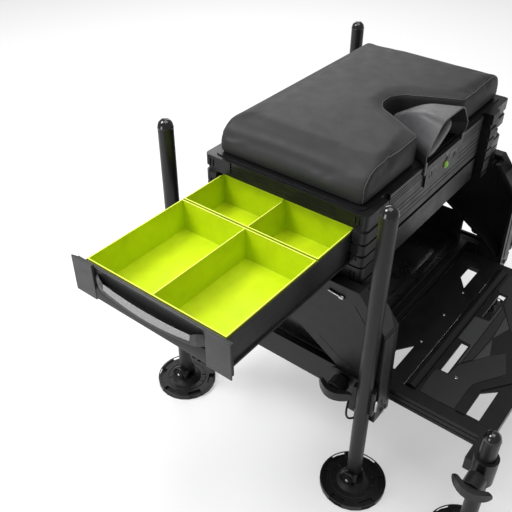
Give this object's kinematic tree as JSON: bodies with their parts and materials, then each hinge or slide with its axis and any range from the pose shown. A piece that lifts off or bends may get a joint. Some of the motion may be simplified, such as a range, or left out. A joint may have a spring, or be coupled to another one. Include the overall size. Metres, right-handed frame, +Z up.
{
  "type": "fishing seat box",
  "caption": "Angler's seat box: padded lifting seat over a pull-out drawer with divided inserts, on a frame with sliding legs, tilting mud feet and a slotted footplate.",
  "frame": {"origin": "on the floor, below the middle of the whole thing at rest (drawer out, footplate in)", "axes": "+Z up; the angler sits facing -Y with the footplate in front; the drawer slides out towards -X"},
  "size_m": [1.0368, 0.8354, 0.6951],
  "materials": {
    "satin_black": "satin",
    "cast_black": "fine texture",
    "tube_black": "satin",
    "gloss_black": "gloss",
    "moulded_black": "matte",
    "deck_black": "satin gloss",
    "drawer_grey": "satin",
    "handle_grey": "speckled satin",
    "lime": "satin",
    "cushion_vinyl": "grained",
    "strap_rubber": "smooth",
    "level_green": "clear gloss",
    "steel": "polished"
  },
  "bodies": {
    "frame": {"side_rail_left": "satin_black", "side_rail_right": "satin_black", "front_rail": "satin_black", "back_rail": "satin_black", "front_apron": "satin_black", "base_deck": "deck_black", "side_casting_left": "cast_black", "side_casting_right": "cast_black", "base_unit": "satin_black", "drawer_unit_front": "satin_black", "drawer_unit_back": "satin_black", "drawer_unit_end": "satin_black", "seat_hinge_pin": "steel", "drawer_unit_corner_front_left": "cast_black", "drawer_unit_corner_front_right": "cast_black", "drawer_unit_corner_back_left": "cast_black", "drawer_unit_corner_back_right": "cast_black", "leg_block_front_left": "cast_black", "leg_block_front_right": "cast_black", "leg_block_back_left": "cast_black", "leg_block_back_right": "cast_black"},
    "seat": {"seat_frame": "satin_black", "cushion": "cushion_vinyl", "lifting_hood": "strap_rubber", "strap_plate": "moulded_black", "bubble_level": "level_green"},
    "drawer": {"drawer_body": "drawer_grey", "drawer_front": "drawer_grey", "drawer_handle": "handle_grey", "insert_front": "lime", "insert_middle": "lime", "insert_rear": "lime"},
    "footplate": {"footplate_panel": "satin_black", "footplate_side_left": "satin_black", "footplate_side_right": "satin_black", "footplate_bar": "satin_black"},
    "leg_front_left": {"leg_front_left": "tube_black", "leg_cap_front_left": "gloss_black"},
    "foot_front_left": {"mud_foot_front_left": "moulded_black"},
    "knob_front_left": {"knob_front_left": "moulded_black"},
    "leg_front_right": {"leg_front_right": "tube_black", "leg_cap_front_right": "gloss_black"},
    "foot_front_right": {"mud_foot_front_right": "moulded_black"},
    "knob_front_right": {"knob_front_right": "moulded_black"},
    "leg_back_left": {"leg_back_left": "tube_black", "leg_cap_back_left": "gloss_black"},
    "foot_back_left": {"mud_foot_back_left": "moulded_black"},
    "knob_back_left": {"knob_back_left": "moulded_black"},
    "leg_back_right": {"leg_back_right": "tube_black", "leg_cap_back_right": "gloss_black"},
    "foot_back_right": {"mud_foot_back_right": "moulded_black"},
    "knob_back_right": {"knob_back_right": "moulded_black"},
    "leg_footplate_left": {"leg_footplate_left": "tube_black", "leg_cap_footplate_left": "gloss_black"},
    "foot_footplate_left": {"mud_foot_footplate_left": "moulded_black"},
    "knob_footplate_left": {"knob_footplate_left": "moulded_black"},
    "leg_footplate_right": {"leg_footplate_right": "tube_black", "leg_cap_footplate_right": "gloss_black"},
    "foot_footplate_right": {"mud_foot_footplate_right": "moulded_black"},
    "knob_footplate_right": {"knob_footplate_right": "moulded_black"}
  },
  "joints": [
    {"name": "drawer_slide", "type": "slide", "parent": "frame", "child": "drawer", "axis": [1, 0, 0], "range_m": [0, 0.323]},
    {"name": "seat_hinge", "type": "hinge", "parent": "frame", "child": "seat", "pos_m": [0.1169, 0.29445, 0.5856], "axis": [-1, 0, 0], "range_deg": [0, 75]},
    {"name": "footplate_slide", "type": "slide", "parent": "frame", "child": "footplate", "axis": [0, -1, 0], "range_m": [0, 0.15]},
    {"name": "leg_slide_front_left", "type": "slide", "parent": "frame", "child": "leg_front_left", "axis": [0, 0, 1], "range_m": [-0.33, 0.14]},
    {"name": "foot_tilt_front_left", "type": "hinge", "parent": "leg_front_left", "child": "foot_front_left", "pos_m": [-0.2166, -0.11695, 0.034], "axis": [1, 0, 0], "range_deg": [-15, 15]},
    {"name": "knob_turn_front_left", "type": "hinge", "parent": "frame", "child": "knob_front_left", "pos_m": [-0.2059, -0.06395, 0.265], "axis": [1, 0, 0], "continuous": true},
    {"name": "leg_slide_front_right", "type": "slide", "parent": "frame", "child": "leg_front_right", "axis": [0, 0, 1], "range_m": [-0.33, 0.14]},
    {"name": "foot_tilt_front_right", "type": "hinge", "parent": "leg_front_right", "child": "foot_front_right", "pos_m": [0.4504, -0.11695, 0.034], "axis": [1, 0, 0], "range_deg": [-15, 15]},
    {"name": "knob_turn_front_right", "type": "hinge", "parent": "frame", "child": "knob_front_right", "pos_m": [0.4397, -0.06395, 0.265], "axis": [1, 0, 0], "continuous": true},
    {"name": "leg_slide_back_left", "type": "slide", "parent": "frame", "child": "leg_back_left", "axis": [0, 0, 1], "range_m": [-0.33, 0.14]},
    {"name": "foot_tilt_back_left", "type": "hinge", "parent": "leg_back_left", "child": "foot_back_left", "pos_m": [-0.2166, 0.34965, 0.034], "axis": [1, 0, 0], "range_deg": [-15, 15]},
    {"name": "knob_turn_back_left", "type": "hinge", "parent": "frame", "child": "knob_back_left", "pos_m": [-0.2059, 0.29665, 0.265], "axis": [1, 0, 0], "continuous": true},
    {"name": "leg_slide_back_right", "type": "slide", "parent": "frame", "child": "leg_back_right", "axis": [0, 0, 1], "range_m": [-0.33, 0.14]},
    {"name": "foot_tilt_back_right", "type": "hinge", "parent": "leg_back_right", "child": "foot_back_right", "pos_m": [0.4504, 0.34965, 0.034], "axis": [1, 0, 0], "range_deg": [-15, 15]},
    {"name": "knob_turn_back_right", "type": "hinge", "parent": "frame", "child": "knob_back_right", "pos_m": [0.4397, 0.29665, 0.265], "axis": [1, 0, 0], "continuous": true},
    {"name": "leg_slide_footplate_left", "type": "slide", "parent": "footplate", "child": "leg_footplate_left", "axis": [0, 0, 1], "range_m": [-0.04, 0.14]},
    {"name": "foot_tilt_footplate_left", "type": "hinge", "parent": "leg_footplate_left", "child": "foot_footplate_left", "pos_m": [-0.1961, -0.34965, 0.034], "axis": [1, 0, 0], "range_deg": [-15, 15]},
    {"name": "knob_turn_footplate_left", "type": "hinge", "parent": "footplate", "child": "knob_footplate_left", "pos_m": [-0.2181, -0.34965, 0.227], "axis": [1, 0, 0], "continuous": true},
    {"name": "leg_slide_footplate_right", "type": "slide", "parent": "footplate", "child": "leg_footplate_right", "axis": [0, 0, 1], "range_m": [-0.04, 0.14]},
    {"name": "foot_tilt_footplate_right", "type": "hinge", "parent": "leg_footplate_right", "child": "foot_footplate_right", "pos_m": [0.4299, -0.34965, 0.034], "axis": [1, 0, 0], "range_deg": [-15, 15]},
    {"name": "knob_turn_footplate_right", "type": "hinge", "parent": "footplate", "child": "knob_footplate_right", "pos_m": [0.4519, -0.34965, 0.227], "axis": [1, 0, 0], "continuous": true}
  ]
}
